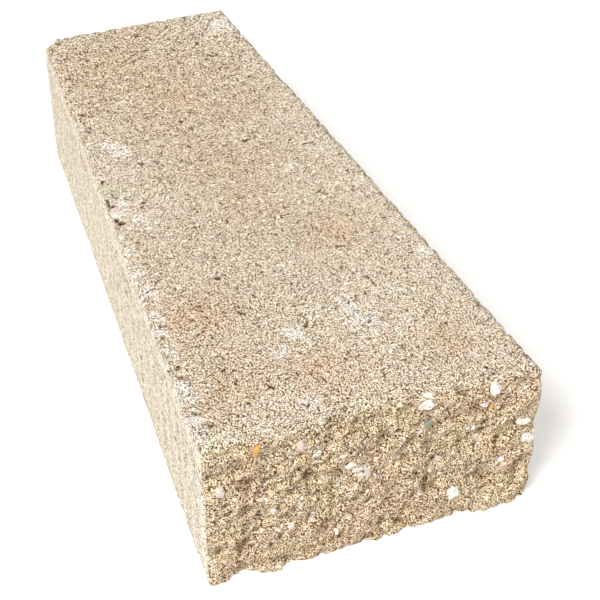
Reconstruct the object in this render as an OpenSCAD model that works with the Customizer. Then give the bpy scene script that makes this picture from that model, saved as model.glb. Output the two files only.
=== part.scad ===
// Tapered concrete wall cap, cast in one piece.
// The mould leaves the top, the bed, both long sides and the back. The front is where the
// block was split away from its neighbour, so it is a rough broken face.
// +Z is up, the broken face looks along -Y, and the origin is the middle of the bed.

/* [Block] */
// Width across the broken front face
front_w = 152; // [110:1:240]
// Width across the moulded back
back_w = 108; // [80:1:200]
// Length from the proudest lump of the broken face to the back
length = 360; // [250:1:480]
// Thickness from the bed to the top
height = 76; // [50:1:110]

/* [Worn edges] */
// Radius of the worn arris round the top
top_arris_r = 2.5; // [1:0.5:6]
// Radius of the worn arris round the bed
bed_arris_r = 1.5; // [1:0.5:6]
// Radius of the upright back corner at -X
left_corner_r = 7; // [3:0.5:20]
// Radius of the upright back corner at +X
right_corner_r = 5; // [3:0.5:20]
// Radius of the scoop left where the top of the corner at -X was knocked off
knock_r = 20; // [12:1:40]
// How deep that scoop bites in from the corner's point
knock_bite = 6; // [3:0.5:10]

/* [Broken face] */
// Depth from the proudest lump to the deepest hollow
relief = 8; // [4:0.5:20]
// Spacing of the broad swells
swell_pitch = 38; // [25:1:60]
// Spacing of the lumps on them
lump_pitch = 15; // [10:0.5:24]
// Size of the facets that the break is drawn with
facet = 4; // [3:0.5:8]
// Picks another break of the same kind
break_seed = 383; // [1:1:500]

/* [Hidden] */
$fn = 64;

// Angle of each long side to the block's centre line
taper = atan((front_w - back_w) / 2 / length);
// Stock in front of the break, which is split off
offcut = 20;
// How far the cutting shapes run past the block
past = 8;
// Share of a worn corner's radius at which its centre stands in from the two faces
corner_set = 0.9;

// Bites in the broken face: place across the face as a share of its width, place up the face
// as a share of its height, radius and depth in millimetres.
BITES = [
  [-0.40, 0.00, 8, 3.5],
  [-0.35, 0.42, 10, 2.5],
  [-0.33, 0.66, 9, 2.5],
  [-0.14, 0.45, 11, 2.5],
  [0.04, 0.29, 10, 2.5],
  [0.10, 0.10, 8, 2.5],
  [0.27, 0.00, 7, 4],
  [0.32, 0.62, 12, 3.5],
  [0.33, 0.24, 10, 2.5],
  [0.51, 0.60, 5, 4.5]
];

// Value noise: random heights on a square lattice with a smooth blend between them.
LATTICE = 32;
swells = rands(-1, 1, LATTICE * LATTICE, break_seed);
lumps = rands(-1, 1, LATTICE * LATTICE, break_seed + 100);
crumbs = rands(-1, 1, LATTICE * LATTICE, break_seed + 200);

function ease(t) = t * t * (3 - 2 * t);
function blend(a, b, t) = a + (b - a) * t;
function wrap(i) = ((i % LATTICE) + LATTICE) % LATTICE;
function knot(table, i, j) = table[wrap(i) + LATTICE * wrap(j)];
function noise(table, x, z) =
  let (i = floor(x), j = floor(z), u = ease(x - i), v = ease(z - j))
  blend(blend(knot(table, i, j), knot(table, i + 1, j), u),
        blend(knot(table, i, j + 1), knot(table, i + 1, j + 1), u), v);

// Depth of one bite at a point of the face.
function bite_depth(bite, x, z) =
  let (away = norm([x - bite[0] * front_w, z - bite[1] * height]) / bite[2])
  away < 1 ? bite[3] * ease(1 - away) : 0;
function bites_depth(x, z, k = 0) =
  k == len(BITES) ? 0 : bite_depth(BITES[k], x, z) + bites_depth(x, z, k + 1);

// Depth of the break before it is brought to the wanted relief.
function rough_depth(x, z) =
  1.6 * noise(swells, x / swell_pitch, z / swell_pitch)
  + 1.6 * noise(lumps, x / lump_pitch, z / lump_pitch)
  + 0.7 * noise(crumbs, x / facet, z / facet)
  + bites_depth(x, z);

// The break is worked out on a square grid that runs past the face on all sides.
columns = ceil((front_w + 2 * past) / facet);
rows = ceil((height + 2 * past) / facet);
step_x = (front_w + 2 * past) / columns;
step_z = (height + 2 * past) / rows;
function grid_x(i) = -front_w / 2 - past + i * step_x;
function grid_z(j) = -past + j * step_z;
depths = [for (j = [0:rows]) [for (i = [0:columns]) rough_depth(grid_x(i), grid_z(j))]];
// Only the grid points on the face itself set the scale.
on_face = [
  for (j = [0:rows])
    for (i = [0:columns])
      if (abs(grid_x(i)) < front_w / 2 && grid_z(j) > 0 && grid_z(j) < height)
        depths[j][i]
];
proudest = min(on_face);
deepest = max(on_face);
function break_y(i, j) =
  let (share = (depths[j][i] - proudest) / (deepest - proudest))
  -length / 2 + relief * max(0, min(1, share));

// The stock that is split off: flat in front, broken at the back.
module split_off() {
  wide = columns + 1;
  last = wide * (rows + 1);
  front_y = -length / 2 - 2 * offcut;
  broken = [for (j = [0:rows]) for (i = [0:columns]) [grid_x(i), break_y(i, j), grid_z(j)]];
  flat = [
    [grid_x(0), front_y, grid_z(0)],
    [grid_x(columns), front_y, grid_z(0)],
    [grid_x(columns), front_y, grid_z(rows)],
    [grid_x(0), front_y, grid_z(rows)]
  ];
  // Every other square is halved along its other diagonal, so that no grain shows.
  skin = [
    for (j = [0:rows - 1])
      for (i = [0:columns - 1])
        let (a = i + wide * j, b = a + 1, c = b + wide, d = a + wide)
        each (i + j) % 2 == 0 ? [[a, b, c], [a, c, d]] : [[a, b, d], [b, c, d]]
  ];
  under = [for (i = [columns:-1:0]) i];
  over = [for (i = [0:columns]) i + wide * rows];
  west = [for (j = [0:rows]) wide * j];
  east = [for (j = [rows:-1:0]) wide * j + columns];
  polyhedron(
    points = concat(broken, flat),
    faces = concat(skin, [
      concat(under, [last, last + 1]),
      concat(over, [last + 2, last + 3]),
      concat(west, [last + 3, last]),
      concat(east, [last + 1, last + 2]),
      [last + 3, last + 2, last + 1, last]
    ])
  );
}

// What is cut off a right-angled corner at the origin to round it, in 2D.
module spandrel(r) {
  difference() {
    translate([-past, -past]) square(past + r);
    translate([r, r]) circle(r);
  }
}

// Section of the mould's inside at one wall, which stands at x = 0.
module wall_section(reach) {
  difference() {
    translate([-reach, 0]) square([reach, height]);
    translate([0, height]) rotate(180) spandrel(top_arris_r);
    rotate(90) spandrel(bed_arris_r);
  }
}

// Everything inside one mould wall, which stands away from the origin and faces an angle.
module inside_wall(away, angle) {
  reach = 2 * (length + front_w);
  rotate(angle)
    translate([away, reach / 2, 0])
      rotate([90, 0, 0])
        linear_extrude(reach)
          wall_section(reach);
}

// What has worn off an upright back corner, on the side where side is 1 or -1.
module worn_corner(side, r) {
  set_in = corner_set * r;
  centre_x = back_w / 2 + set_in * tan(taper) - set_in / cos(taper);
  translate([side * centre_x, length / 2 - set_in, -past])
    linear_extrude(height + 2 * past)
      difference() {
        translate([side > 0 ? 0 : -r - past, 0]) square(r + past);
        circle(r);
      }
}

// What was knocked off the top of the back corner at -X.
module knocked_corner() {
  outward = [-1, 1, 1] / sqrt(3);
  translate([-back_w / 2, length / 2, height] + (knock_r - knock_bite) * outward)
    sphere(knock_r);
}

// The block as it leaves the mould, with the stock in front still on it.
module moulded_block() {
  side_away = (front_w + back_w) / 4 * cos(taper);
  difference() {
    intersection() {
      translate([-front_w, -length / 2 - offcut, 0])
        cube([2 * front_w, length + 2 * offcut, height]);
      inside_wall(side_away, taper);
      inside_wall(side_away, 180 - taper);
      inside_wall(length / 2, 90);
    }
    worn_corner(-1, left_corner_r);
    worn_corner(1, right_corner_r);
    knocked_corner();
  }
}

module wall_cap() {
  color("tan")
    difference() {
      moulded_block();
      split_off();
    }
}

wall_cap();
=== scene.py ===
"""A tapered concrete wall cap.

It was cast in a mould, split from its neighbour at the front and weathered outdoors.
"""
import itertools
import math
import random
import bpy
from mathutils import Matrix, Vector, noise


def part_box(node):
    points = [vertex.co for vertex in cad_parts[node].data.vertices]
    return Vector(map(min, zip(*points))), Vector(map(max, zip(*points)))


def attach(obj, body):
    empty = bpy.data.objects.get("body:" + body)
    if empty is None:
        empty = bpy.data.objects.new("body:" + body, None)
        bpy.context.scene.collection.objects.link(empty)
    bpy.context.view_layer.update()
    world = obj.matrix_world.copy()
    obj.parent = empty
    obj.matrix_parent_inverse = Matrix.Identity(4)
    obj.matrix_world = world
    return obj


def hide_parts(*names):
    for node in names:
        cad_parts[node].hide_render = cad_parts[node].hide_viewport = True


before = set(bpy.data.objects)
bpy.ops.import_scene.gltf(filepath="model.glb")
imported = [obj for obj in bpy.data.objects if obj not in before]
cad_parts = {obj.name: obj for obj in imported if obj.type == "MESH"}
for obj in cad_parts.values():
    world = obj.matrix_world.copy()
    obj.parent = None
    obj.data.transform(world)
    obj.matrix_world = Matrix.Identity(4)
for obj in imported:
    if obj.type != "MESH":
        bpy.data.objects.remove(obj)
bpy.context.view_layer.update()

bl_info = {
    "name": "Concrete wall cap",
    "version": (1, 0, 0),
    "blender": (4, 5, 0),
    "location": "3D View > Sidebar > Wall cap",
    "description": "Dresses the solid of a split-faced concrete wall cap",
    "category": "Object",
}

NODE = "wall_cap"
MM = 0.001
# The moulded sides close in towards the back: half widths at the two ends, from the CAD solid.
LOW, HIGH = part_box(NODE)
HALF_FRONT = 76 * MM
HALF_BACK = 54 * MM
LENGTH = HIGH.y - LOW.y
# How far back from its foremost point the broken face reaches.
BREAK_REACH = 14 * MM
# Points of the CAD solid that are nearer to each other than this are one.
MERGED = 0.001 * MM

# How far apart the features of each pattern in the concrete lie. Some of the real grit and pores are
# too fine to show, so they are drawn as coarse as they need to show.
GRIT = 0.6 * MM
WORN_PATCH = 5 * MM
COARSE_GRAIN = 3.4 * MM
LOOSE_PATCH = 7 * MM
PORE = 0.9 * MM
BURIED_STONE = 7 * MM
DRAG_SWAY = 9 * MM
DRAG_LINE = 1.3 * MM
TONE_DRIFT = 26 * MM
FILM_STREAK = 2 * MM
LIME_PATCH = 4.5 * MM
# The same in the gravel.
STONE_CLOUD = 1.6 * MM
MORTAR_CRUST = 0.9 * MM
# The same for what casting, wear and the split have left in the surface.
KNOCK = 4 * MM
SAND_RIPPLE = 2.4 * MM
AIR_HOLE = 6 * MM
TEAR_LUMP = 13 * MM
TEAR_RIDGE = 11 * MM
# The surface is blurred in so many steps to find its small and its wide hollows, and their depths are
# given to the material in these units.
SMALL_BLUR = 14
SMALL_HOLLOW = 0.3 * MM
WIDE_BLUR = 90
WIDE_HOLLOW = 1 * MM

# The camera: its lens and its sensor's width in mm, where it stands and where it looks.
LENS = 89.6
SENSOR = 36
STAND = Vector((-192, -585, 490)) * MM
TARGET = Vector((14, -52.5, 38)) * MM
# The lamps: name, place and width in metres, and power in watts. They all look at one point.
LAMPS = (
    ("key_lamp", Vector((-3.8, -3.0, 5.4)), 2.6, 508.0),
    ("fill_lamp", Vector((4.0, -4.8, 4.0)), 4.8, 84.0),
)
LIT_POINT = Vector((0, 0, 0.04))
ROOM_LIGHT = 0.44
FLOOR_WIDTH = 8
FLOOR_GLOW = 0.3

# Places on the top are given as shares: across from -1 at the left arris to 1 at the right one, and
# along from 0 at the break to 1 at the back. Places on the break are given across in the same way,
# and up from 0 at the bed to 1 at the top.

# The colours of the stones.
STONE_COLOURS = {
    "milky": "#F7F3EA",
    "cream": "#E9D6B4",
    "grey": "#C6C2BC",
    "green": "#7C8A74",
    "amber": "#E3A637",
    "rose": "#E2C9C0",
    "red": "#D9A088",
    "lilac": "#E2DCD8",
    "brown": "#A98A66",
    "dark": "#7A6E60",
}
# The larger stones in the broken face: share across, share up, size in mm, colour name.
FACE_STONES = (
    (-0.7, 0.95, 5.0, "amber"),
    (0.7, 0.8, 3.0, "amber"),
    (-0.45, 0.9, 5.5, "rose"),
    (0.3, 0.8, 4.5, "green"),
    (-0.5, 0.85, 3.5, "grey"),
    (-0.05, 0.55, 4.5, "grey"),
    (0.3, 0.95, 10.5, "milky"),
    (0.7, 0.95, 6.0, "milky"),
    (0.65, 0.85, 4.5, "milky"),
    (0.9, 0.65, 6.5, "milky"),
    (0.95, 0.5, 6.0, "milky"),
    (-0.35, 0.8, 5.5, "milky"),
    (-0.15, 0.65, 4.5, "milky"),
    (-0.1, 0.6, 5.0, "milky"),
    (-0.9, 0.7, 5.0, "milky"),
    (-0.5, 0.3, 4.0, "milky"),
    (0.5, 0.2, 7.0, "milky"),
)
# The larger stones in the top: shares across and along, size in mm, colour name, and how far they
# are raised, as a share of the size.
TOP_STONES = (
    (-0.95, 0.5, 5.5, "rose", 0.1),
    (-0.9, 0.25, 3.4, "red", -0.1),
    (-0.85, 0.15, 3.8, "red", -0.1),
    (0.95, 0.25, 3.4, "red", 0.0),
    (0.95, 0.1, 3.2, "red", 0.0),
    (-0.2, 0.1, 3.6, "milky", -0.1),
    (-0.7, 0.05, 4.0, "milky", -0.1),
)
# How many small stones the broken face has, the lowest, the highest and the likeliest place of one
# across and up in mm, the smallest and the largest size in mm, and the colours that they take.
SMALL_STONES = 100
SMALL_ACROSS = (-74, 74, -30)
SMALL_UP = (2, 74, 55)
SMALL_SIZES = (1.5, 3.2)
SMALL_COLOURS = ("milky", "lilac", "cream", "cream", "lilac", "brown", "dark")
# How many small stones the top has, the stretch across and along that they lie in, the smallest and
# the largest size in mm, and the colours that they take.
TOP_SMALL_STONES = 9
TOP_SMALL_STRETCH = ((-0.8, 0.9), (0.03, 0.8))
TOP_SMALL_SIZES = (2.6, 3.4)
TOP_SMALL_COLOURS = ("milky", "milky", "cream")
# How far small stones are raised, as a share of the size.
FACE_RISE = 0.16
TOP_RISE = -0.1
# How far outside the block the rays start that find where its surface is.
RAY_ROOM = 50 * MM
# Stretches of the top where pits or chips are scattered: lowest and highest share across and along,
# how many, and the lowest and highest radius and depth in mm.
PIT_STRETCHES = (
    ((-1.0, -0.9), (0.46, 0.6), 7, (2.0, 3.2), (2.4, 3.4)),
    ((-0.92, -0.88), (0.7, 0.85), 3, (1.6, 2.8), (1.6, 3.0)),
    ((-1.0, -0.88), (0.04, 0.18), 7, (1.3, 1.8), (1.3, 1.8)),
    ((0.98, 1.0), (0.05, 0.85), 12, (2.2, 3.0), (1.4, 2.0)),
    ((-0.6, 0.2), (0.25, 0.65), 6, (1.1, 1.8), (1.0, 1.8)),
)
# Stretches where lime has gathered in clots: shares across and along, how many, and the lowest and
# highest reach in mm.
LIME_STRETCHES = (
    ((-1.0, -0.93), (0.04, 0.22), 8, (7, 9)),
    ((-1.0, -0.95), (0.22, 0.45), 8, (6, 8)),
    ((-0.98, -0.75), (0.45, 0.53), 4, (5, 9)),
    ((-0.95, -0.7), (0.62, 0.67), 3, (6, 9)),
    ((-0.6, -0.2), (0.04, 0.2), 3, (6, 9)),
    ((0.2, 0.55), (0.15, 0.22), 4, (8, 10)),
    ((0.8, 0.95), (0.2, 0.28), 2, (6, 8)),
    ((0.45, 0.55), (0.48, 0.52), 1, (8, 8)),
    ((0.85, 0.9), (0.94, 0.97), 1, (14, 14)),
)
# Where a thin haze of lime lies on the top: shares across and along, reach in mm.
HAZES = (
    (0.3, 0.2, 46),
    (0.95, 0.1, 26),
    (0.95, 0.2, 32),
    (0.95, 0.35, 30),
    (0.95, 0.45, 30),
    (0.95, 0.55, 30),
    (0.95, 0.65, 28),
    (0.95, 0.8, 24),
    (0.95, 0.95, 34),
    (-0.9, 0.6, 28),
    (-0.8, 0.5, 30),
    (-0.95, 0.3, 18),
    (-0.55, 0.05, 24),
)
# Where iron in the sand has tinted the top warmer: shares across and along, reach in mm.
BLUSHES = (
    (-0.75, 0.25, 30),
    (-0.7, 0.1, 26),
    (-0.15, 0.1, 24),
    (-0.5, 0.85, 70),
    (0.0, 0.75, 60),
    (0.05, 0.55, 36),
    (0.0, 0.45, 24),
    (0.45, 0.35, 24),
    (0.65, 0.1, 18),
)


def on_top(across, along):
    """A place on the top, from its shares across and along."""
    half = HALF_FRONT + (HALF_BACK - HALF_FRONT) * along
    return Vector((across * half, LOW.y + along * LENGTH, HIGH.z))


def scattered(dice, across, along, count):
    """Places scattered over a stretch of the top."""
    return [on_top(dice.uniform(*across), dice.uniform(*along)) for _ in range(count)]


def srgb(hex_colour):
    """The three sRGB parts of a hex string, from 0 to 1."""
    return [int(hex_colour[i : i + 2], 16) / 255 for i in (1, 3, 5)]


def linear(colour):
    """The linear RGBA of an sRGB colour, given as a hex string or as its three parts."""
    parts = srgb(colour) if isinstance(colour, str) else colour
    return (*(c / 12.92 if c <= 0.04045 else ((c + 0.055) / 1.055) ** 2.4 for c in parts), 1.0)


def add(tree, kind, inputs=None, **settings):
    """Adds one node to a tree, with its settings, and with values or sockets on its inputs."""
    node = tree.nodes.new(kind)
    for name, value in settings.items():
        setattr(node, name, value)
    for key, value in (inputs or {}).items():
        if isinstance(value, bpy.types.NodeSocket):
            tree.links.new(value, node.inputs[key])
        else:
            node.inputs[key].default_value = value
    return node


def alone(piece):
    """Selects one object and makes it the active one."""
    bpy.ops.object.select_all(action="DESELECT")
    piece.select_set(True)
    bpy.context.view_layer.objects.active = piece


# ---------------------------------------------------------------- sizes and colours


class CapSizes(bpy.types.PropertyGroup):
    voxel: bpy.props.FloatProperty(
        name="Surface grid",
        description="Spacing of the points that the surface is first cut into",
        default=0.8 * MM,
        unit="LENGTH",
    )
    sand: bpy.props.FloatProperty(
        name="Sand grain",
        description="Width of a grain of the sand in the mix",
        default=0.53 * MM,
        unit="LENGTH",
    )
    sand_rise: bpy.props.FloatProperty(
        name="Sand relief",
        description="Depth of the sandy texture on the moulded faces",
        default=0.18 * MM,
        unit="LENGTH",
    )
    pit: bpy.props.FloatProperty(
        name="Air hole",
        description="Radius of the largest holes that air left in the moulded faces",
        default=1.1 * MM,
        unit="LENGTH",
    )
    chip: bpy.props.FloatProperty(
        name="Arris wear",
        description="Depth of the chips along the moulded edges",
        default=1.8 * MM,
        unit="LENGTH",
    )
    crumble: bpy.props.FloatProperty(
        name="Break relief",
        description="Height of the mortar lumps in the broken face",
        default=1.9 * MM,
        unit="LENGTH",
    )
    faces: bpy.props.IntProperty(
        name="Faces",
        description="Most triangles in the finished block",
        default=185000,
        min=20000,
        max=199000,
    )
    seed: bpy.props.IntProperty(
        name="Seed",
        description="Picks another scatter of the small stones, pits and lime clots",
        default=7,
    )


class CapColours(bpy.types.PropertyGroup):
    # Painted shade between the grains of sand.
    gap_shade: bpy.props.FloatVectorProperty(
        name="Gaps",
        description="Colour down between the grains of sand",
        subtype="COLOR",
        default=srgb("#54350A"),
    )
    sand: bpy.props.FloatVectorProperty(
        name="Sand", description="Colour of most grains", subtype="COLOR", default=srgb("#FFF1DE")
    )
    pale_sand: bpy.props.FloatVectorProperty(
        name="Pale sand",
        description="Colour of the quartz grains",
        subtype="COLOR",
        default=srgb("#FFF8EA"),
    )
    paste: bpy.props.FloatVectorProperty(
        name="Cement paste",
        description="Colour of the paste that was smeared along the mould's sides",
        subtype="COLOR",
        default=srgb("#FFFBEE"),
    )
    # Painted shade in pores, hollows and pits, and the colour of the fine cracks and the drag lines.
    pore_shade_and_lines: bpy.props.FloatVectorProperty(
        name="Pores",
        description="Colour down in the holes between grains",
        subtype="COLOR",
        default=srgb("#50320C"),
    )
    bloom: bpy.props.FloatVectorProperty(
        name="Lime bloom",
        description="Colour of the salts that weather out of the concrete",
        subtype="COLOR",
        default=srgb("#FFFBF2"),
    )
    blush: bpy.props.FloatVectorProperty(
        name="Iron tint",
        description="What the warmer patches multiply the sand's colour by",
        subtype="COLOR",
        default=srgb("#FCEEE4"),
    )


# ---------------------------------------------------------------- materials


def gathered(tree, place, spots):
    """A socket that is 1 at the middle of each spot and falls to 0 at its reach."""
    most = None
    for spot, reach in spots:
        away = add(tree, "ShaderNodeVectorMath", {0: place, 1: spot}, operation="DISTANCE").outputs["Value"]
        here = add(tree, "ShaderNodeMapRange", {0: away, 1: 0.0, 2: reach * MM, 3: 1.0, 4: 0.0}).outputs[0]
        if most is None:
            most = here
        else:
            most = add(tree, "ShaderNodeMath", {0: most, 1: here}, operation="MAXIMUM").outputs[0]
    return most


def lime_clots(seed):
    """Where lime has gathered in clots, and the reach of each in mm."""
    dice = random.Random(seed)
    clots = []
    for across, along, count, reaches in LIME_STRETCHES:
        clots += [(spot, dice.uniform(*reaches)) for spot in scattered(dice, across, along, count)]
    # A few more run down the side by the left end of the break.
    for share in (0.15, 0.35, 0.6, 0.8):
        clots.append((Vector((-HALF_FRONT, LOW.y + 8 * MM, share * HIGH.z)), 8))
    return clots


def sand_with_gaps(tree, place, at, sizes, colours):
    """Grains of sand, the painted shade between them, and where the paste has worn off the arrises."""
    # Most of the real grains are finer, and too fine to show, so they are drawn about 0.5 mm wide, as
    # coarse as they need to show. Each has a shade of its own, and is a little pink or a little green.
    grains = add(tree, "ShaderNodeTexVoronoi", {"Vector": place, "Scale": 1 / sizes.sand})
    shade = add(tree, "ShaderNodeSeparateColor", {0: grains.outputs["Color"]})
    ramp = add(tree, "ShaderNodeValToRGB", {0: shade.outputs[0]})
    stops = ramp.color_ramp.elements
    stops[0].position, stops[0].color = 0.0, linear("#DCC4A2")
    stops[1].position, stops[1].color = 1.0, linear("#FFFDF6")
    for position, colour in ((0.1, "#F2DFC4"), (0.4, colours.sand), (0.8, colours.pale_sand)):
        stops.new(position).color = linear(colour)
    hue = add(
        tree,
        "ShaderNodeMix",
        {"Factor": shade.outputs[2], 6: linear("#FFFAF8"), 7: linear("#FAFFF6")},
        data_type="RGBA",
    ).outputs[2]
    grained = add(
        tree,
        "ShaderNodeMix",
        {"Factor": 1.0, 6: ramp.outputs[0], 7: hue},
        data_type="RGBA",
        blend_type="MULTIPLY",
    ).outputs[2]
    # Along the arrises the paste has weathered out from between them, so the painted shade between them is
    # wider there.
    ragged = add(
        tree, "ShaderNodeTexNoise", {"Vector": place, "Scale": 1 / WORN_PATCH, "Detail": 3.0}
    ).outputs[0]
    ragged = add(
        tree, "ShaderNodeMath", {0: ragged, 1: 14 * MM, 2: at["edge"]}, operation="MULTIPLY_ADD"
    ).outputs[0]
    ragged = add(
        tree, "ShaderNodeMapRange", {0: ragged, 1: 8.0 * MM, 2: 10.5 * MM, 3: 1.0, 4: 0.0}
    ).outputs[0]
    tight = add(
        tree, "ShaderNodeMath", {0: at["smear"], 1: 0.08, 2: 0.49}, operation="MULTIPLY_ADD"
    ).outputs[0]
    tight = add(
        tree, "ShaderNodeMath", {0: ragged, 1: -0.05, 2: tight}, operation="MULTIPLY_ADD"
    ).outputs[0]
    loosened = add(tree, "ShaderNodeMath", {0: tight, 1: 0.12}, operation="ADD").outputs[0]
    # Painted shade between the grains: a point far from the middle of its grain is darkened.
    shaded_gap = add(
        tree, "ShaderNodeMapRange", {0: grains.outputs["Distance"], 1: tight, 2: loosened, 3: 0.0, 4: 1.0}
    ).outputs[0]
    # The back is further from the eye, so there they are drawn coarser still, for the same reason.
    big = add(
        tree, "ShaderNodeTexVoronoi", {"Vector": place, "Scale": 0.65 / sizes.sand}
    ).outputs["Distance"]
    big_shaded_gap = add(tree, "ShaderNodeMapRange", {0: big, 1: tight, 2: loosened, 3: 0.0, 4: 1.0}).outputs[0]
    back = add(tree, "ShaderNodeSeparateXYZ", {0: place}).outputs[1]
    back = add(tree, "ShaderNodeMapRange", {0: back, 1: -0.1, 2: 0.14, 3: 0.0, 4: 0.8}).outputs[0]
    upper = add(tree, "ShaderNodeMath", {0: 1.0, 1: at["smear"]}, operation="SUBTRACT").outputs[0]
    back = add(tree, "ShaderNodeMath", {0: back, 1: upper}, operation="MULTIPLY").outputs[0]
    shaded_gap = add(tree, "ShaderNodeMix", {"Factor": back, 2: shaded_gap, 3: big_shaded_gap}).outputs[0]
    grained = add(
        tree, "ShaderNodeMix", {"Factor": shaded_gap, 6: grained, 7: linear(colours.gap_shade)}, data_type="RGBA"
    ).outputs[2]
    return grained, shaded_gap, ragged


def coarse_grains(tree, place, grained):
    """The sand, with coarser grains of up to about 2 mm lying in it, most of them pale."""
    coarse = add(tree, "ShaderNodeTexVoronoi", {"Vector": place, "Scale": 1 / COARSE_GRAIN})
    kind = add(tree, "ShaderNodeSeparateColor", {0: coarse.outputs["Color"]})
    reach = add(
        tree, "ShaderNodeMapRange", {0: kind.outputs[0], 1: 0.4, 2: 1.0, 3: 0.05, 4: 0.33}
    ).outputs[0]
    inside = add(
        tree, "ShaderNodeMath", {0: reach, 1: coarse.outputs["Distance"]}, operation="SUBTRACT"
    ).outputs[0]
    seen = add(tree, "ShaderNodeMapRange", {0: inside, 1: 0.0, 2: 0.06, 3: 0.0, 4: 0.8}).outputs[0]
    tones = add(tree, "ShaderNodeValToRGB", {0: kind.outputs[1]})
    tones.color_ramp.interpolation = "CONSTANT"
    stops = tones.color_ramp.elements
    stops[0].position, stops[0].color = 0.0, linear("#FFF6E2")
    stops[1].position, stops[1].color = 0.9, linear("#8F7B62")
    for position, colour in ((0.5, "#FFFFFF"), (0.65, "#E9CDB6"), (0.8, "#C9C3BA")):
        stops.new(position).color = linear(colour)
    mixed = add(
        tree, "ShaderNodeMix", {"Factor": seen, 6: grained, 7: tones.outputs[0]}, data_type="RGBA"
    ).outputs[2]
    return mixed


def pores_and_cracks(tree, place, at, ragged):
    """Where the surface is dark, and the random colours of the pores.

    Pores are small holes where the paste does not fill the room between the grains; their darkness is
    painted shade, as is the darkening of small hollows. The fine cracks are dark lines in the concrete
    itself.
    """
    loose = add(
        tree, "ShaderNodeTexNoise", {"Vector": place, "Scale": 1 / LOOSE_PATCH, "Detail": 3.0}
    ).outputs[0]
    specks = add(tree, "ShaderNodeTexVoronoi", {"Vector": place, "Scale": 1 / PORE})
    lot = add(tree, "ShaderNodeSeparateColor", {0: specks.outputs["Color"]})
    picked = add(
        tree, "ShaderNodeMath", {0: loose, 1: 0.5, 2: lot.outputs[0]}, operation="MULTIPLY_ADD"
    ).outputs[0]
    reach = add(tree, "ShaderNodeMapRange", {0: picked, 1: 0.85, 2: 1.25, 3: 0.0, 4: 0.5}).outputs[0]
    reach = add(
        tree, "ShaderNodeMath", {0: at["broken"], 1: 0.08, 2: reach}, operation="MULTIPLY_ADD"
    ).outputs[0]
    reach = add(tree, "ShaderNodeMath", {0: ragged, 1: 0.1, 2: reach}, operation="MULTIPLY_ADD").outputs[0]
    reach = add(
        tree, "ShaderNodeMath", {0: at["smear"], 1: 0.2, 2: reach}, operation="MULTIPLY_ADD"
    ).outputs[0]
    inside = add(
        tree, "ShaderNodeMath", {0: reach, 1: specks.outputs["Distance"]}, operation="SUBTRACT"
    ).outputs[0]
    pores = add(tree, "ShaderNodeMapRange", {0: inside, 1: 0.0, 2: 0.08, 3: 0.0, 4: 1.0}).outputs[0]
    # Fine cracks follow parts of the outlines of stones just under the surface.
    wobble = add(tree, "ShaderNodeTexNoise", {"Vector": place, "Scale": 1 / WORN_PATCH, "Detail": 2.0})
    bent = add(
        tree,
        "ShaderNodeVectorMath",
        {0: wobble.outputs["Color"], 1: (4 * MM,) * 3, 2: place},
        operation="MULTIPLY_ADD",
    ).outputs[0]
    outline = add(
        tree,
        "ShaderNodeTexVoronoi",
        {"Vector": bent, "Scale": 1 / BURIED_STONE},
        feature="DISTANCE_TO_EDGE",
    ).outputs[0]
    crack = add(tree, "ShaderNodeMapRange", {0: outline, 1: 0.025, 2: 0.055, 3: 1.0, 4: 0.0}).outputs[0]
    cracked = add(
        tree, "ShaderNodeMapRange", {0: wobble.outputs[0], 1: 0.6, 2: 0.64, 3: 0.0, 4: 1.0}
    ).outputs[0]
    crack = add(tree, "ShaderNodeMath", {0: crack, 1: cracked}, operation="MULTIPLY").outputs[0]
    # Painted shade in small hollows: the deeper a point lies below the surface around it, the darker.
    down = add(tree, "ShaderNodeMapRange", {0: at["hollow"], 1: 0.8, 2: 3.0, 3: 0.0, 4: 0.85}).outputs[0]
    dark = add(tree, "ShaderNodeMath", {0: pores, 1: crack}, operation="MAXIMUM").outputs[0]
    dark = add(tree, "ShaderNodeMath", {0: dark, 1: down}, operation="MAXIMUM").outputs[0]
    return dark, lot


def drag_lines(tree, place, up, at):
    """Fine lines that the mould dragged along the sides, most of them where the band of paste ends."""
    below = add(tree, "ShaderNodeMath", {0: up, 1: HIGH.z - 15 * MM}, operation="SUBTRACT").outputs[0]
    below = add(tree, "ShaderNodeMath", {0: below}, operation="ABSOLUTE").outputs[0]
    often = add(tree, "ShaderNodeMapRange", {0: below, 1: 2 * MM, 2: 9 * MM, 3: 0.54, 4: 0.62}).outputs[0]
    sway = add(tree, "ShaderNodeTexNoise", {"Vector": place, "Scale": 1 / DRAG_SWAY}).outputs["Color"]
    sway = add(tree, "ShaderNodeVectorMath", {0: sway, "Scale": 5 * MM}, operation="SCALE").outputs[0]
    along = add(
        tree, "ShaderNodeVectorMath", {0: place, 1: (1.0, 0.09, 1.0), 2: sway}, operation="MULTIPLY_ADD"
    ).outputs[0]
    lines = add(
        tree, "ShaderNodeTexNoise", {"Vector": along, "Scale": 1 / DRAG_LINE, "Detail": 2.0}
    ).outputs[0]
    lines = add(tree, "ShaderNodeMath", {0: lines, 1: often}, operation="SUBTRACT").outputs[0]
    dragged = add(tree, "ShaderNodeMapRange", {0: lines, 1: 0.0, 2: 0.05, 3: 0.0, 4: 0.45}).outputs[0]
    dragged = add(tree, "ShaderNodeMath", {0: dragged, 1: at["smear"]}, operation="MULTIPLY").outputs[0]
    return dragged


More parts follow.
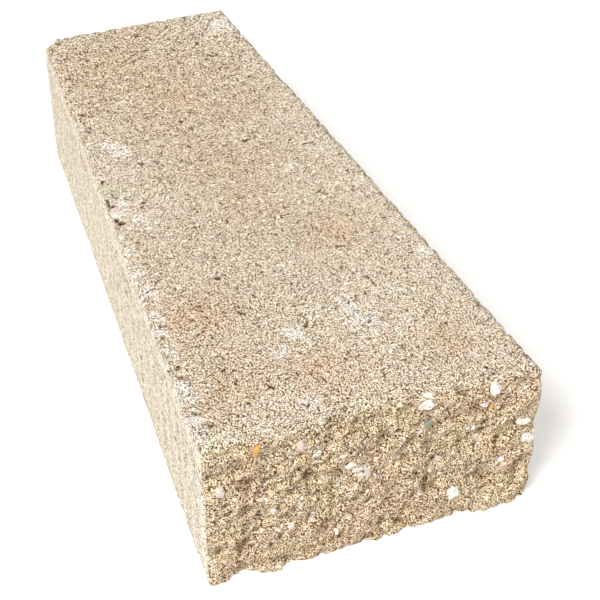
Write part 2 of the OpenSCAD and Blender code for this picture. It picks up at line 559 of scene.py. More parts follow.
def tinted(tree, place, mixed, slow, colours):
    """The grains, with slow changes of tone over the block and its warmer patches."""
    blushes = [(on_top(across, along), reach) for across, along, reach in BLUSHES]
    drift = add(tree, "ShaderNodeMapRange", {0: slow, 1: 0.35, 2: 0.65, 3: 0.0, 4: 1.0}).outputs[0]
    cast = add(
        tree,
        "ShaderNodeMix",
        {"Factor": drift, 6: linear("#FEFDF6"), 7: linear("#FFF8F6")},
        data_type="RGBA",
    ).outputs[2]
    warm = add(
        tree, "ShaderNodeMath", {0: gathered(tree, place, blushes), 1: slow}, operation="MULTIPLY"
    ).outputs[0]
    warm = add(tree, "ShaderNodeMapRange", {0: warm, 1: 0.0, 2: 0.45, 3: 0.0, 4: 1.0}).outputs[0]
    tint = add(
        tree, "ShaderNodeMix", {"Factor": warm, 6: cast, 7: linear(colours.blush)}, data_type="RGBA"
    ).outputs[2]
    sand = add(
        tree, "ShaderNodeMix", {"Factor": 1.0, 6: mixed, 7: tint}, data_type="RGBA", blend_type="MULTIPLY"
    ).outputs[2]
    return sand


def filmed(tree, place, up, at, sand, slow, colours):
    """The film of paste on the sides, drawn out upwards, and richer in a band under the top."""
    drawn = add(
        tree, "ShaderNodeVectorMath", {0: place, 1: (1.0, 0.6, 0.4)}, operation="MULTIPLY"
    ).outputs[0]
    streaks = add(
        tree, "ShaderNodeTexNoise", {"Vector": drawn, "Scale": 1 / FILM_STREAK, "Detail": 3.0}
    ).outputs[0]
    film = add(tree, "ShaderNodeMapRange", {0: streaks, 1: 0.35, 2: 0.65, 3: 0.2, 4: 0.4}).outputs[0]
    up = add(tree, "ShaderNodeMath", {0: slow, 1: 6 * MM, 2: up}, operation="MULTIPLY_ADD").outputs[0]
    band = add(
        tree, "ShaderNodeMapRange", {0: up, 1: HIGH.z - 14 * MM, 2: HIGH.z - 6 * MM, 3: 0.0, 4: 0.15}
    ).outputs[0]
    film = add(tree, "ShaderNodeMath", {0: film, 1: band}, operation="ADD").outputs[0]
    film = add(tree, "ShaderNodeMath", {0: film, 1: at["smear"]}, operation="MULTIPLY").outputs[0]
    skin = add(
        tree, "ShaderNodeMix", {"Factor": film, 6: sand, 7: linear(colours.paste)}, data_type="RGBA"
    ).outputs[2]
    return skin


def break_toned(tree, at, skin):
    """The browner tone of the break, with painted shade in its wider hollows."""
    break_tone = add(
        tree,
        "ShaderNodeMix",
        {"Factor": at["broken"], 6: linear("#FFFFFF"), 7: linear("#F8F1E7")},
        data_type="RGBA",
    ).outputs[2]
    toned = add(
        tree,
        "ShaderNodeMix",
        {"Factor": 1.0, 6: skin, 7: break_tone},
        data_type="RGBA",
        blend_type="MULTIPLY",
    ).outputs[2]

    # Painted shade: the wider hollows of the break are darkened, the deeper the more.
    deep = add(tree, "ShaderNodeMapRange", {0: at["dell"], 1: 0.3, 2: 1.8, 3: 0.0, 4: 0.7}).outputs[0]
    deep = add(tree, "ShaderNodeMath", {0: deep, 1: at["broken"]}, operation="MULTIPLY").outputs[0]
    toned = add(
        tree,
        "ShaderNodeMix",
        {"Factor": deep, 6: toned, 7: linear("#957446")},
        data_type="RGBA",
        blend_type="MULTIPLY",
    ).outputs[2]
    return toned


def limed(tree, place, at, shaded_gap, lot, seed, toned, colours):
    """Lime on top of it all: a thin haze that lightens the grains, and clots that hide them."""
    hazes = [(on_top(across, along), reach) for across, along, reach in HAZES]
    patches = add(
        tree,
        "ShaderNodeTexNoise",
        {"Vector": place, "Scale": 1 / LIME_PATCH, "Detail": 4.0, "Roughness": 0.6},
    ).outputs[0]
    rubbed = add(
        tree, "ShaderNodeMapRange", {0: at["edge"], 1: 1.5 * MM, 2: 7 * MM, 3: 0.9, 4: 0.0}
    ).outputs[0]
    hazed = add(
        tree, "ShaderNodeMath", {0: gathered(tree, place, hazes), 1: rubbed}, operation="MAXIMUM"
    ).outputs[0]
    uneven = add(tree, "ShaderNodeMapRange", {0: patches, 1: 0.38, 2: 0.62, 3: 0.1, 4: 1.0}).outputs[0]
    haze = add(tree, "ShaderNodeMath", {0: hazed, 1: uneven}, operation="MULTIPLY").outputs[0]
    haze = add(tree, "ShaderNodeMath", {0: haze, 1: 0.5}, operation="MULTIPLY").outputs[0]
    thick = add(
        tree,
        "ShaderNodeMath",
        {0: gathered(tree, place, lime_clots(seed)), 1: 0.3, 2: patches},
        operation="MULTIPLY_ADD",
    ).outputs[0]
    thick = add(
        tree, "ShaderNodeMath", {0: lot.outputs[1], 1: 0.25, 2: thick}, operation="MULTIPLY_ADD"
    ).outputs[0]
    clot = add(tree, "ShaderNodeMapRange", {0: thick, 1: 0.78, 2: 0.8, 3: 0.0, 4: 0.95}).outputs[0]
    bloom = add(tree, "ShaderNodeMath", {0: haze, 1: clot}, operation="MAXIMUM").outputs[0]
    chalk = add(
        tree,
        "ShaderNodeMix",
        {"Factor": clot, 6: linear("#FFF6E2"), 7: linear(colours.bloom)},
        data_type="RGBA",
    ).outputs[2]
    unbroken = add(
        tree, "ShaderNodeMapRange", {0: at["broken"], 1: 0.2, 2: 0.8, 3: 1.0, 4: 0.45}
    ).outputs[0]
    bloom = add(tree, "ShaderNodeMath", {0: bloom, 1: unbroken}, operation="MULTIPLY").outputs[0]
    # It sits on the grains, so the painted shade between them stays.
    sitting = add(tree, "ShaderNodeMapRange", {0: shaded_gap, 1: 0.0, 2: 1.0, 3: 1.0, 4: 0.2}).outputs[0]
    bloom = add(tree, "ShaderNodeMath", {0: bloom, 1: sitting}, operation="MULTIPLY").outputs[0]
    coated = add(tree, "ShaderNodeMix", {"Factor": bloom, 6: toned, 7: chalk}, data_type="RGBA").outputs[2]
    return coated


def weathered_concrete(sizes, colours):
    """Dry-cast concrete: sand held in pale cement, struck from a mould and weathered.

    The eye gets a matt, sandy speckle with dark pores, a smooth creamy skin where the sides slid out of the
    mould, a coarser and browner break, and chalky lime bloom along the edges. Shade is painted into the
    colour between the grains, in the pores, in small and wide hollows and in the pits.
    """
    material = bpy.data.materials.new("weathered_dry_cast_concrete")
    material.use_nodes = True
    tree = material.node_tree
    tree.nodes.clear()
    place = add(tree, "ShaderNodeTexCoord").outputs["Object"]
    # What the shaping leaves at each point: its share of broken face and of smeared skin, how deep it
    # lies in a small and in a wide hollow, its distance to an arris and its depth in a pit.
    at = {
        name: add(tree, "ShaderNodeAttribute", attribute_name=name).outputs["Fac"]
        for name in ("broken", "smear", "hollow", "dell", "edge", "hole")
    }
    fine = add(
        tree, "ShaderNodeTexNoise", {"Vector": place, "Scale": 1 / GRIT, "Detail": 2.0, "Roughness": 0.6}
    ).outputs[0]
    grained, shaded_gap, ragged = sand_with_gaps(tree, place, at, sizes, colours)
    mixed = coarse_grains(tree, place, grained)
    dark, lot = pores_and_cracks(tree, place, at, ragged)
    up = add(tree, "ShaderNodeSeparateXYZ", {0: place}).outputs[2]
    dragged = drag_lines(tree, place, up, at)
    dark = add(tree, "ShaderNodeMath", {0: dark, 1: dragged}, operation="MAXIMUM").outputs[0]
    # The smooth skin of the sides has closed most of its pores.
    open_skin = add(
        tree, "ShaderNodeMapRange", {0: at["smear"], 1: 0.0, 2: 1.0, 3: 0.9, 4: 0.85}
    ).outputs[0]
    dark = add(tree, "ShaderNodeMath", {0: dark, 1: open_skin}, operation="MULTIPLY").outputs[0]
    # Painted shade in the pits and air holes: the deeper a point lies in one, the darker.
    sunk = add(
        tree, "ShaderNodeMapRange", {0: at["hole"], 1: 0.3 * MM, 2: 1.8 * MM, 3: 0.0, 4: 0.95}
    ).outputs[0]
    dark = add(tree, "ShaderNodeMath", {0: dark, 1: sunk}, operation="MAXIMUM").outputs[0]

    slow = add(
        tree, "ShaderNodeTexNoise", {"Vector": place, "Scale": 1 / TONE_DRIFT, "Detail": 4.0}
    ).outputs[0]
    sand = tinted(tree, place, mixed, slow, colours)
    skin = filmed(tree, place, up, at, sand, slow, colours)
    toned = break_toned(tree, at, skin)
    coated = limed(tree, place, at, shaded_gap, lot, sizes.seed, toned, colours)
    # The painted shade of pores, hollows and pits, the fine cracks and the drag lines all take the one dark
    # colour.
    holed = add(
        tree, "ShaderNodeMix", {"Factor": dark, 6: coated, 7: linear(colours.pore_shade_and_lines)}, data_type="RGBA"
    ).outputs[2]

    height = add(tree, "ShaderNodeMath", {0: dark, 1: -1.0, 2: fine}, operation="MULTIPLY_ADD").outputs[0]
    relief = add(tree, "ShaderNodeMapRange", {0: at["smear"], 1: 0.0, 2: 1.0, 3: 0.35, 4: 0.2}).outputs[0]
    bump = add(tree, "ShaderNodeBump", {"Height": height, "Distance": 0.25 * MM, "Strength": relief})
    surface = add(
        tree,
        "ShaderNodeBsdfPrincipled",
        {
            "Base Color": holed,
            "Normal": bump.outputs[0],
            "Roughness": 0.93,
            "IOR": 1.5,
            "Specular IOR Level": 0.05,
        },
    )
    add(tree, "ShaderNodeOutputMaterial", {0: surface.outputs[0]})
    return material


def gravel_stone():
    """River gravel: quartz, flint and sandstone pebbles, broken with the block or lying whole in it.

    The eye gets a smoother and slightly glossier patch than the mortar, in one colour with faint clouds.
    """
    material = bpy.data.materials.new("river_gravel")
    material.use_nodes = True
    tree = material.node_tree
    tree.nodes.clear()
    place = add(tree, "ShaderNodeTexCoord").outputs["Object"]
    tone = add(tree, "ShaderNodeAttribute", attribute_name="tone").outputs["Color"]
    clouds = add(
        tree, "ShaderNodeTexNoise", {"Vector": place, "Scale": 1 / STONE_CLOUD, "Detail": 3.0}
    ).outputs[0]
    veil = add(tree, "ShaderNodeMapRange", {0: clouds, 1: 0.45, 2: 0.7, 3: 0.0, 4: 0.6}).outputs[0]
    clouded = add(
        tree, "ShaderNodeMix", {"Factor": veil, 6: tone, 7: linear("#B9AFAA")}, data_type="RGBA"
    ).outputs[2]
    # Some mortar still sticks to them.
    crust = add(
        tree, "ShaderNodeTexNoise", {"Vector": place, "Scale": 1 / MORTAR_CRUST, "Detail": 2.0}
    ).outputs[0]
    stuck = add(tree, "ShaderNodeMapRange", {0: crust, 1: 0.56, 2: 0.62, 3: 0.0, 4: 0.85}).outputs[0]
    clouded = add(
        tree, "ShaderNodeMix", {"Factor": stuck, 6: clouded, 7: linear("#B79F78")}, data_type="RGBA"
    ).outputs[2]
    bump = add(tree, "ShaderNodeBump", {"Height": clouds, "Distance": 0.3 * MM, "Strength": 0.5})
    surface = add(
        tree,
        "ShaderNodeBsdfPrincipled",
        {"Base Color": clouded, "Normal": bump.outputs[0], "Roughness": 0.5, "IOR": 1.54},
    )
    add(tree, "ShaderNodeOutputMaterial", {0: surface.outputs[0]})
    return material


# ---------------------------------------------------------------- shaping


def air_holes(tree, place, sizes):
    """How deep the moulded faces are pitted by single air holes."""
    holes = add(tree, "ShaderNodeTexVoronoi", {"Vector": place, "Scale": 1 / AIR_HOLE})
    pick = add(tree, "FunctionNodeSeparateColor", {0: holes.outputs["Color"]})
    reach = add(
        tree, "ShaderNodeMapRange", {0: pick.outputs[0], 1: 0.82, 2: 1.0, 3: 0.0, 4: sizes.pit / AIR_HOLE}
    ).outputs[0]
    inside = add(
        tree, "ShaderNodeMath", {0: reach, 1: holes.outputs["Distance"]}, operation="SUBTRACT"
    ).outputs[0]
    pitted = add(
        tree,
        "ShaderNodeMapRange",
        {0: inside, 1: 0.0, 2: 0.12, 3: 0.0, 4: 0.8 * sizes.pit},
        interpolation_type="SMOOTHSTEP",
    ).outputs[0]
    return pitted


def placed_pits(tree, place, knocks, holed, seed):
    """The depth of all holes, with the larger pits and chips scattered over their stretches."""
    dice = random.Random(seed)
    pits = []
    for across, along, count, radii, depths in PIT_STRETCHES:
        for spot in scattered(dice, across, along, count):
            pits.append((spot, dice.uniform(*radii), dice.uniform(*depths)))
    for spot, radius, depth in pits:
        away = add(tree, "ShaderNodeVectorMath", {0: place, 1: spot}, operation="DISTANCE").outputs["Value"]
        away = add(
            tree, "ShaderNodeMath", {0: knocks, 1: 6 * MM, 2: away}, operation="MULTIPLY_ADD"
        ).outputs[0]
        scoop = add(
            tree,
            "ShaderNodeMapRange",
            {0: away, 1: (0.2 * radius + 2.8) * MM, 2: (1.1 * radius + 3.0) * MM, 3: depth * MM, 4: 0.0},
            interpolation_type="SMOOTHSTEP",
        ).outputs[0]
        holed = add(tree, "ShaderNodeMath", {0: holed, 1: scoop}, operation="MAXIMUM").outputs[0]
    return holed


def torn_mortar(tree, place, sizes):
    """How deep the mortar of the break is torn: negative where it stands proud."""
    lumps = add(
        tree,
        "ShaderNodeTexNoise",
        {"Vector": place, "Scale": 1 / TEAR_LUMP, "Detail": 6.0, "Roughness": 0.62},
    ).outputs[0]
    torn = add(
        tree, "ShaderNodeMapRange", {0: lumps, 1: 0.3, 2: 0.7, 3: sizes.crumble, 4: -sizes.crumble}
    ).outputs[0]
    # Sockets of stones that pulled out: the cells' spacing in mm, the share of the cells that have
    # none, and the depth as a share of the relief.
    for spacing, bare, deep in ((14, 0.4, 1.5), (6.5, 0.5, 0.75), (3.6, 0.5, 0.4)):
        cells = add(tree, "ShaderNodeTexVoronoi", {"Vector": place, "Scale": 1 / (spacing * MM)})
        chosen = add(tree, "FunctionNodeSeparateColor", {0: cells.outputs["Color"]})
        wide = add(
            tree, "ShaderNodeMapRange", {0: chosen.outputs[0], 1: bare, 2: 1.0, 3: 0.0, 4: 0.5}
        ).outputs[0]
        inside = add(
            tree, "ShaderNodeMath", {0: wide, 1: cells.outputs["Distance"]}, operation="SUBTRACT"
        ).outputs[0]
        socket = add(
            tree,
            "ShaderNodeMapRange",
            {0: inside, 1: 0.0, 2: 0.25, 3: 0.0, 4: deep * sizes.crumble},
            interpolation_type="SMOOTHSTEP",
        ).outputs[0]
        torn = add(tree, "ShaderNodeMath", {0: torn, 1: socket}, operation="ADD").outputs[0]
    # Sharp ridges where the tear changed its course.
    ridges = add(
        tree,
        "ShaderNodeTexNoise",
        {
            "Vector": place,
            "Scale": 1 / TEAR_RIDGE,
            "Detail": 3.0,
            "Roughness": 0.55,
            "Offset": 1.0,
            "Gain": 1.0,
        },
        noise_type="RIDGED_MULTIFRACTAL",
        normalize=True,
    ).outputs[0]
    ridges = add(
        tree,
        "ShaderNodeMapRange",
        {0: ridges, 1: 0.2, 2: 0.9, 3: 0.6 * sizes.crumble, 4: -0.6 * sizes.crumble},
    ).outputs[0]
    torn = add(tree, "ShaderNodeMath", {0: torn, 1: ridges}, operation="ADD").outputs[0]
    # Rounded crumbs of mortar, with narrow clefts between them: spacing and depth in mm.
    for spacing, deep in ((3.4, 1.1), (1.5, 0.4)):
        crumb = add(
            tree, "ShaderNodeTexVoronoi", {"Vector": place, "Scale": 1 / (spacing * MM)}
        ).outputs["Distance"]
        cleft = add(tree, "ShaderNodeMath", {0: crumb, 1: 2.0}, operation="POWER").outputs[0]
        torn = add(
            tree, "ShaderNodeMath", {0: cleft, 1: deep * MM, 2: torn}, operation="MULTIPLY_ADD"
        ).outputs[0]
    return torn


def depth_below(tree, place, normal, iterations, unit):
    """How far a point lies below the surface around it, which is blurred in that many steps."""
    around = add(
        tree,
        "GeometryNodeBlurAttribute",
        {"Value": place, "Iterations": iterations},
        data_type="FLOAT_VECTOR",
    ).outputs[0]
    drop = add(tree, "ShaderNodeVectorMath", {0: around, 1: place}, operation="SUBTRACT").outputs[0]
    depth = add(tree, "ShaderNodeVectorMath", {0: drop, 1: normal}, operation="DOT_PRODUCT").outputs[1]
    return add(tree, "ShaderNodeMath", {0: depth, 1: unit}, operation="DIVIDE").outputs[0]


def wear_nodes(sizes):
    """Geometry nodes that rough up the break, sand and pit the moulded faces and chip their edges.

    They also leave six attributes for the material: broken, edge, smear, hole, hollow and dell.
    """
    tree = bpy.data.node_groups.new("cap_wear", "GeometryNodeTree")
    tree.interface.new_socket("Geometry", in_out="INPUT", socket_type="NodeSocketGeometry")
    tree.interface.new_socket("Geometry", in_out="OUTPUT", socket_type="NodeSocketGeometry")
    block = add(tree, "NodeGroupInput").outputs[0]
    place = add(tree, "GeometryNodeInputPosition").outputs[0]
    normal = add(tree, "GeometryNodeInputNormal").outputs[0]
    point = add(tree, "ShaderNodeSeparateXYZ", {0: place})
    facing = add(tree, "ShaderNodeSeparateXYZ", {0: normal})

    # The broken face: near the front, and looking forward.
    break_end = LOW.y + BREAK_REACH
    forward = add(
        tree,
        "ShaderNodeMapRange",
        {0: facing.outputs[1], 1: -0.3, 2: -0.6, 3: 0.0, 4: 1.0},
        interpolation_type="SMOOTHSTEP",
    ).outputs[0]
    near = add(
        tree,
        "ShaderNodeMapRange",
        {0: point.outputs[1], 1: break_end + 2 * MM, 2: break_end - 2 * MM, 3: 0.0, 4: 1.0},
    ).outputs[0]
    front = add(tree, "ShaderNodeMath", {0: forward, 1: near}, operation="MULTIPLY").outputs[0]
    soft_front = add(tree, "GeometryNodeBlurAttribute", {"Value": front, "Iterations": 2}).outputs[0]
    block = add(
        tree, "GeometryNodeStoreNamedAttribute", {0: block, "Name": "broken", "Value": soft_front}
    ).outputs[0]
    broken = add(tree, "GeometryNodeInputNamedAttribute", {0: "broken"}).outputs[0]
    whole = add(tree, "ShaderNodeMath", {0: 1.0, 1: broken}, operation="SUBTRACT").outputs[0]

    # The sides and the back slid along the mould: they look level.
    level = add(tree, "ShaderNodeMath", {0: facing.outputs[2]}, operation="ABSOLUTE").outputs[0]
    upright = add(tree, "ShaderNodeMapRange", {0: level, 1: 0.75, 2: 0.35, 3: 0.0, 4: 1.0}).outputs[0]
    slid = add(tree, "ShaderNodeMath", {0: upright, 1: whole}, operation="MULTIPLY").outputs[0]

    # The flat facets of the solid's break are blended into each other.
    eased = add(
        tree,
        "GeometryNodeBlurAttribute",
        {"Value": place, "Iterations": 14, "Weight": broken},
        data_type="FLOAT_VECTOR",
    ).outputs[0]
    block = add(tree, "GeometryNodeSetPosition", {0: block, "Position": eased}).outputs[0]

    # How near a point is to an arris: the second smallest of its distances to the mould's planes.
    width = add(tree, "ShaderNodeMath", {0: point.outputs[0]}, operation="ABSOLUTE").outputs[0]
    lean = add(
        tree,
        "ShaderNodeMath",
        {0: point.outputs[1], 1: (HALF_FRONT - HALF_BACK) / LENGTH, 2: width},
        operation="MULTIPLY_ADD",
    ).outputs[0]
    to_top = add(tree, "ShaderNodeMath", {0: HIGH.z, 1: point.outputs[2]}, operation="SUBTRACT").outputs[0]
    to_bed = add(tree, "ShaderNodeMath", {0: point.outputs[2], 1: LOW.z}, operation="SUBTRACT").outputs[0]
    to_back = add(tree, "ShaderNodeMath", {0: HIGH.y, 1: point.outputs[1]}, operation="SUBTRACT").outputs[0]
    to_side = add(
        tree, "ShaderNodeMath", {0: (HALF_FRONT + HALF_BACK) / 2, 1: lean}, operation="SUBTRACT"
    ).outputs[0]
    arris = None
    for one, other in itertools.combinations((to_top, to_bed, to_back, to_side), 2):
        further = add(tree, "ShaderNodeMath", {0: one, 1: other}, operation="MAXIMUM").outputs[0]
        if arris is None:
            arris = further
        else:
            arris = add(tree, "ShaderNodeMath", {0: arris, 1: further}, operation="MINIMUM").outputs[0]
    block = add(
        tree, "GeometryNodeStoreNamedAttribute", {0: block, "Name": "edge", "Value": arris}
    ).outputs[0]
    # The film of paste on the sides and the back ends unevenly short of the arrises.
    knocks = add(
        tree, "ShaderNodeTexNoise", {"Vector": place, "Scale": 1 / KNOCK, "Detail": 4.0, "Roughness": 0.65}
    ).outputs[0]
    from_arris = add(
        tree, "ShaderNodeMath", {0: knocks, 1: -14 * MM, 2: arris}, operation="MULTIPLY_ADD"
    ).outputs[0]
    kept = add(
        tree, "ShaderNodeMapRange", {0: from_arris, 1: -5.5 * MM, 2: -2.5 * MM, 3: 0.0, 4: 1.0}
    ).outputs[0]
    slid = add(tree, "ShaderNodeMath", {0: slid, 1: kept}, operation="MULTIPLY").outputs[0]
    block = add(
        tree, "GeometryNodeStoreNamedAttribute", {0: block, "Name": "smear", "Value": slid}
    ).outputs[0]
    smear = add(tree, "GeometryNodeInputNamedAttribute", {0: "smear"}).outputs[0]
    at_arris = add(
        tree,
        "ShaderNodeMapRange",
        {0: arris, 1: 0.5 * MM, 2: 4 * MM, 3: 1.0, 4: 0.0},
        interpolation_type="SMOOTHSTEP",
    ).outputs[0]

    # Moulded faces: everything here only takes material away, because the mould was flat.
    ripple = add(
        tree,
        "ShaderNodeTexNoise",
        {"Vector": place, "Scale": 1 / SAND_RIPPLE, "Detail": 2.0, "Roughness": 0.6},
    )
    sandy = add(
        tree,
        "ShaderNodeMapRange",
        {0: smear, 1: 0.0, 2: 1.0, 3: sizes.sand_rise, 4: 0.35 * sizes.sand_rise},
    ).outputs[0]
    sanded = add(tree, "ShaderNodeMath", {0: ripple.outputs[0], 1: sandy}, operation="MULTIPLY").outputs[0]
    pitted = air_holes(tree, place, sizes)
    knocked = add(
        tree,
        "ShaderNodeMapRange",
        {0: knocks, 1: 0.48, 2: 0.6, 3: 0.0, 4: sizes.chip},
        interpolation_type="SMOOTHSTEP",
    ).outputs[0]
    chipped = add(tree, "ShaderNodeMath", {0: knocked, 1: at_arris}, operation="MULTIPLY").outputs[0]
    by_break = add(
        tree,
        "ShaderNodeMapRange",
        {0: point.outputs[1], 1: LOW.y + 4 * MM, 2: LOW.y + 13 * MM, 3: 0.9, 4: 0.0},
    ).outputs[0]
    chipped = add(
        tree, "ShaderNodeMath", {0: knocked, 1: by_break, 2: chipped}, operation="MULTIPLY_ADD"
    ).outputs[0]
    holed = placed_pits(tree, place, knocks, pitted, sizes.seed)
    block = add(
        tree, "GeometryNodeStoreNamedAttribute", {0: block, "Name": "hole", "Value": holed}
    ).outputs[0]
    holed = add(tree, "GeometryNodeInputNamedAttribute", {0: "hole"}).outputs[0]
    lost = add(tree, "ShaderNodeMath", {0: sanded, 1: chipped}, operation="ADD").outputs[0]
    lost = add(tree, "ShaderNodeMath", {0: lost, 1: holed}, operation="ADD").outputs[0]
    lost = add(tree, "ShaderNodeMath", {0: lost, 1: whole}, operation="MULTIPLY").outputs[0]

    # Broken face: the mortar tears either way.
    torn = torn_mortar(tree, place, sizes)
    torn = add(tree, "ShaderNodeMath", {0: torn, 1: broken}, operation="MULTIPLY").outputs[0]
    # The tear is shallower by the top and the sides, so that no thin fin of them is left standing.
    rim = add(tree, "ShaderNodeMath", {0: to_top, 1: to_side}, operation="MINIMUM").outputs[0]
    rim = add(tree, "ShaderNodeMapRange", {0: rim, 1: 0.5 * MM, 2: 5 * MM, 3: 0.35, 4: 1.0}).outputs[0]
    torn = add(tree, "ShaderNodeMath", {0: torn, 1: rim}, operation="MULTIPLY").outputs[0]

    total = add(tree, "ShaderNodeMath", {0: lost, 1: torn}, operation="ADD").outputs[0]
    inward = add(tree, "ShaderNodeMath", {0: total, 1: -1.0}, operation="MULTIPLY").outputs[0]
    shift = add(tree, "ShaderNodeVectorMath", {0: normal, "Scale": inward}, operation="SCALE").outputs[0]
    block = add(tree, "GeometryNodeSetPosition", {0: block, "Offset": shift}).outputs[0]

    # Nothing stands out of the mould.
    held = add(tree, "ShaderNodeVectorMath", {0: place, 1: HIGH}, operation="MINIMUM").outputs[0]
    held = add(tree, "ShaderNodeVectorMath", {0: held, 1: LOW}, operation="MAXIMUM").outputs[0]
    block = add(tree, "GeometryNodeSetPosition", {0: block, "Position": held}).outputs[0]

    # How far a point lies in a small hollow, and in a wide one, by which the material paints shade.
    small = depth_below(tree, place, normal, SMALL_BLUR, SMALL_HOLLOW)
    block = add(
        tree, "GeometryNodeStoreNamedAttribute", {0: block, "Name": "hollow", "Value": small}
    ).outputs[0]
    wide = depth_below(tree, place, normal, WIDE_BLUR, WIDE_HOLLOW)
    wide = add(tree, "GeometryNodeBlurAttribute", {"Value": wide, "Iterations": 4}).outputs[0]
    block = add(
        tree, "GeometryNodeStoreNamedAttribute", {0: block, "Name": "dell", "Value": wide}
    ).outputs[0]
    add(tree, "NodeGroupOutput", {0: block})
    return tree


class CastBlock(bpy.types.Operator):
    """Cuts the solid's surface small, breaks, sands, pits and chips it, and gives it its concrete"""

    bl_idname = "wall_cap.cast_block"
    bl_label = "Cast the block"

    def execute(self, context):
        sizes, colours = context.scene.cap_sizes, context.scene.cap_colours
        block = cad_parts[NODE].copy()
        block.data = block.data.copy()
        block.name = block.data.name = "cast_block"
        block.parent = None
        block.matrix_world = Matrix()
        context.scene.collection.objects.link(block)
        alone(block)
        bpy.ops.object.mode_set(mode="EDIT")
        bpy.ops.mesh.select_all(action="SELECT")
        bpy.ops.mesh.remove_doubles(threshold=MERGED)
        bpy.ops.object.mode_set(mode="OBJECT")

        grid = block.modifiers.new("grid", "REMESH")
        grid.mode = "VOXEL"
        grid.voxel_size = sizes.voxel
        bpy.ops.object.modifier_apply(modifier=grid.name)
        # The break gets points twice as close, because it is so much rougher.
        for face in block.data.polygons:
            face.select = face.normal.y < -0.4 and face.center.y < LOW.y + BREAK_REACH
        bpy.ops.object.mode_set(mode="EDIT")
        bpy.ops.mesh.subdivide(number_cuts=1)
        bpy.ops.object.mode_set(mode="OBJECT")
        wear = block.modifiers.new("wear", "NODES")
        wear.node_group = wear_nodes(sizes)
        bpy.ops.object.modifier_apply(modifier=wear.name)
        triangles = sum(len(face.vertices) - 2 for face in block.data.polygons)
        if triangles > sizes.faces:
            thin = block.modifiers.new("thin", "DECIMATE")
            thin.ratio = sizes.faces / triangles
            bpy.ops.object.modifier_apply(modifier=thin.name)
        bpy.ops.object.shade_smooth()

        block.data.materials.clear()
        block.data.materials.append(weathered_concrete(sizes, colours))
        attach(block, "root")
        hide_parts(NODE)
        return {"FINISHED"}


def pebble(dice, place, out, size, colour, rise):
    """One stone, its middle sunk below a point of the surface, so that it rises by a share of its size.

    It is a lumpy sphere, ground flat on a few random sides and on the one that looks out.
    """
    # How far from its middle the side lies that looks out, and how far the middle is sunk, both as
    # shares of its size.
    front, down = 0.34, 0.22
    bpy.ops.mesh.primitive_ico_sphere_add(subdivisions=3 if size > 3 * MM else 2, radius=0.5)
    stone = bpy.context.object
    flats = []
    for _ in range(7):
        facing = Vector((dice.gauss(0, 1), dice.gauss(0, 1), dice.gauss(0, 1))).normalized()
        flats.append((facing, dice.uniform(0.32, 0.46)))
    lumps = Vector((dice.uniform(0, 50), dice.uniform(0, 50), dice.uniform(0, 50)))
    turn = Matrix.Rotation(dice.uniform(0, math.tau), 4, out)
    squash = Matrix.Diagonal((dice.uniform(0.9, 1.25), dice.uniform(0.6, 0.8), dice.uniform(0.6, 0.95), 1))
    outward = out.to_track_quat("Y", "Z").to_matrix().to_4x4()
    for vertex in stone.data.vertices:
        for facing, reach in flats:
            vertex.co -= facing * max(0, vertex.co.dot(facing) - reach)
        vertex.co *= (1 + 0.45 * noise.noise(3.2 * vertex.co + lumps)) * dice.uniform(0.95, 1.05)
        vertex.co.y = min(vertex.co.y, front)
    seat = Matrix.Translation(place - out * size * (down - rise))
    stone.data.transform(seat @ turn @ outward @ squash @ Matrix.Scale(size, 4))
    tone = stone.data.attributes.new("tone", "FLOAT_COLOR", "POINT")
    tone.data.foreach_set("color", linear(STONE_COLOURS[colour]) * len(stone.data.vertices))
    return stone


class SetStones(bpy.types.Operator):
    """Sets gravel into the broken face, and a few pale pebbles flush into the top"""

    bl_idname = "wall_cap.set_stones"
    bl_label = "Set the stones"

    def execute(self, context):
        sizes = context.scene.cap_sizes
        block = bpy.data.objects["cast_block"]
        dice = random.Random(sizes.seed)
        wanted = [
            (across * HALF_FRONT / MM, up * HIGH.z / MM, size, colour)
            for across, up, size, colour in FACE_STONES
        ]
        for _ in range(SMALL_STONES):
            x, z = dice.triangular(*SMALL_ACROSS), dice.triangular(*SMALL_UP)
            wanted.append((x, z, dice.uniform(*SMALL_SIZES), dice.choice(SMALL_COLOURS)))
        stones = []
        for x, z, size, colour in wanted:
            start = Vector((x * MM, LOW.y - RAY_ROOM, z * MM))
            hit, place, out, _ = block.ray_cast(start, Vector((0, 1, 0)))
            if not hit:
                continue
            # A stone looks out between the slope that it lies on and straight ahead.
            out = (out + Vector((0, -1.5, 0))).normalized()
            stones.append(pebble(dice, place, out, size * MM, colour, FACE_RISE))
        bedded = [(on_top(across, along), *rest) for across, along, *rest in TOP_STONES]
        for spot in scattered(dice, *TOP_SMALL_STRETCH, TOP_SMALL_STONES):
            size = dice.uniform(*TOP_SMALL_SIZES)
            bedded.append((spot, size, dice.choice(TOP_SMALL_COLOURS), TOP_RISE))
        for spot, size, colour, rise in bedded:
            start = spot + Vector((0, 0, RAY_ROOM))
            hit, place, *_ = block.ray_cast(start, Vector((0, 0, -1)))
            if not hit:
                raise RuntimeError("a top stone lies outside the top")
            stones.append(pebble(dice, place, Vector((0, 0, 1)), size * MM, colour, rise))
        bpy.ops.object.select_all(action="DESELECT")
        for stone in stones:
            stone.select_set(True)
        context.view_layer.objects.active = stones[0]
        bpy.ops.object.join()
        gravel = context.object
        gravel.name = gravel.data.name = "gravel"
        bpy.ops.object.shade_smooth_by_angle(angle=math.radians(45))
        gravel.data.materials.clear()
        gravel.data.materials.append(gravel_stone())
        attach(gravel, "root")
        return {"FINISHED"}


# ---------------------------------------------------------------- stage


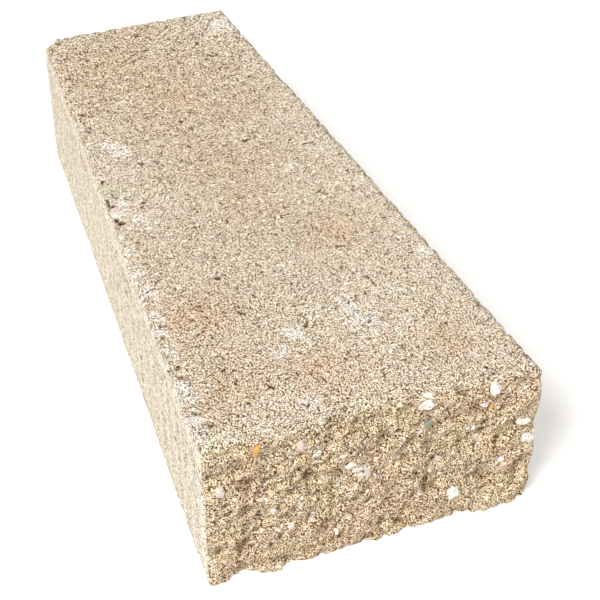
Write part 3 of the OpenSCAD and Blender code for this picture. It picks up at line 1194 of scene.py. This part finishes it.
class SetStage(bpy.types.Operator):
    """Lays a pale floor, hangs the studio lamps and stands the camera"""

    bl_idname = "wall_cap.set_stage"
    bl_label = "Set the stage"

    def execute(self, context):
        bpy.ops.object.select_all(action="DESELECT")
        bpy.ops.mesh.primitive_plane_add(size=FLOOR_WIDTH, location=(0, 0, LOW.z))
        floor = context.object
        floor.name = "floor"
        paper = bpy.data.materials.new("white_paper_floor")
        paper.use_nodes = True
        tree = paper.node_tree
        tree.nodes.clear()
        seen = add(tree, "ShaderNodeLightPath").outputs["Is Camera Ray"]
        matt = add(tree, "ShaderNodeBsdfDiffuse", {"Color": linear("#E6E4E0")})
        glow = add(tree, "ShaderNodeEmission", {"Color": linear("#FFFFFF"), "Strength": FLOOR_GLOW})
        lifted = add(tree, "ShaderNodeAddShader", {0: matt.outputs[0], 1: glow.outputs[0]})
        sheet = add(tree, "ShaderNodeMixShader", {0: seen, 1: matt.outputs[0], 2: lifted.outputs[0]})
        add(tree, "ShaderNodeOutputMaterial", {0: sheet.outputs[0]})
        floor.data.materials.append(paper)

        world = bpy.data.worlds.new("studio")
        context.scene.world = world
        world.use_nodes = True
        tree = world.node_tree
        tree.nodes.clear()
        path = add(tree, "ShaderNodeLightPath")
        straight = add(
            tree,
            "ShaderNodeMath",
            {0: path.outputs["Is Camera Ray"], 1: path.outputs["Is Glossy Ray"]},
            operation="MAXIMUM",
        ).outputs[0]
        straight = add(
            tree,
            "ShaderNodeMath",
            {0: straight, 1: path.outputs["Is Transmission Ray"]},
            operation="MAXIMUM",
        ).outputs[0]
        room = add(tree, "ShaderNodeBackground", {"Color": linear("#FFFFFF"), "Strength": ROOM_LIGHT})
        white = add(tree, "ShaderNodeBackground", {"Color": linear("#FFFFFF"), "Strength": 1.0})
        both = add(tree, "ShaderNodeMixShader", {0: straight, 1: room.outputs[0], 2: white.outputs[0]})
        add(tree, "ShaderNodeOutputWorld", {0: both.outputs[0]})

        for name, place, width, power in LAMPS:
            lamp = bpy.data.lights.new(name, "AREA")
            lamp.shape = "DISK"
            lamp.size = width
            lamp.energy = power
            holder = bpy.data.objects.new(name, lamp)
            holder.location = place
            holder.rotation_euler = (LIT_POINT - place).to_track_quat("-Z", "Y").to_euler()
            context.scene.collection.objects.link(holder)

        camera = bpy.data.objects.new("camera", bpy.data.cameras.new("camera"))
        camera.data.sensor_width = SENSOR
        camera.data.lens = LENS
        camera.location = STAND
        camera.rotation_euler = (TARGET - STAND).to_track_quat("-Z", "Y").to_euler()
        camera.data.clip_start = 0.01
        context.scene.collection.objects.link(camera)
        context.scene.camera = camera
        context.scene.view_settings.view_transform = "Standard"
        return {"FINISHED"}


class CapPanel(bpy.types.Panel):
    """Sizes, colours and steps of the wall cap"""

    bl_idname = "VIEW3D_PT_wall_cap"
    bl_label = "Wall cap"
    bl_space_type = "VIEW_3D"
    bl_region_type = "UI"
    bl_category = "Wall cap"

    def draw(self, context):
        for group in (context.scene.cap_sizes, context.scene.cap_colours):
            column = self.layout.column(align=True)
            for name in group.__annotations__:
                column.prop(group, name)
        for step in STEPS:
            self.layout.operator(step.bl_idname)


STEPS = (CastBlock, SetStones, SetStage)
CLASSES = (CapSizes, CapColours, *STEPS, CapPanel)


def register():
    """Registers the classes and hangs the sizes and colours on the scene."""
    for each in CLASSES:
        bpy.utils.register_class(each)
    bpy.types.Scene.cap_sizes = bpy.props.PointerProperty(type=CapSizes)
    bpy.types.Scene.cap_colours = bpy.props.PointerProperty(type=CapColours)


def unregister():
    """Takes off what register put on."""
    del bpy.types.Scene.cap_colours
    del bpy.types.Scene.cap_sizes
    for each in reversed(CLASSES):
        bpy.utils.unregister_class(each)


def main():
    """Makes the wall cap and its stage."""
    register()
    bpy.ops.wall_cap.cast_block()
    bpy.ops.wall_cap.set_stones()
    bpy.ops.wall_cap.set_stage()


if __name__ == "__main__":
    main()
